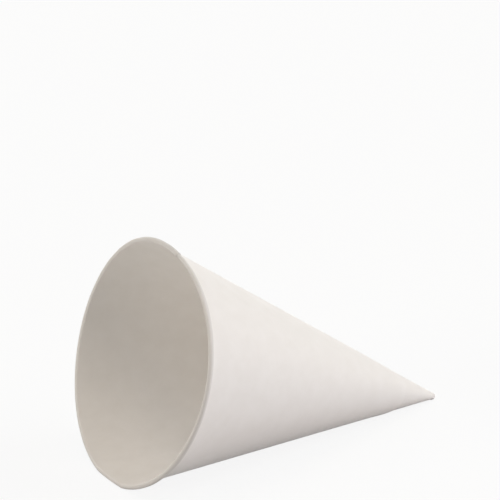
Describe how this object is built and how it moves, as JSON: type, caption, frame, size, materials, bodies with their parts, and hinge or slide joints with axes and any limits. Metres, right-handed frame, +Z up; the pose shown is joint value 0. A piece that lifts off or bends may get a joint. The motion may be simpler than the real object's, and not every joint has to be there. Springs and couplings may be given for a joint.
{
  "type": "cone paper cup",
  "caption": "Empty disposable cone cup of white paper lying on its side, wound from one sheet with a glued lap, a rolled rim and a blunt pressed tip.",
  "frame": {"origin": "middle of the cup's footprint, on the surface that it lies on", "axes": "+Z up, +X from the mouth towards the tip along the line that the cup rests on, +Y to the side"},
  "size_m": [0.1012, 0.073, 0.0628],
  "materials": {
    "white_paper": "matte uncoated white paper with a fine fibre grain"
  },
  "bodies": {
    "root": {"paper_cone": "white_paper"}
  },
  "joints": []
}
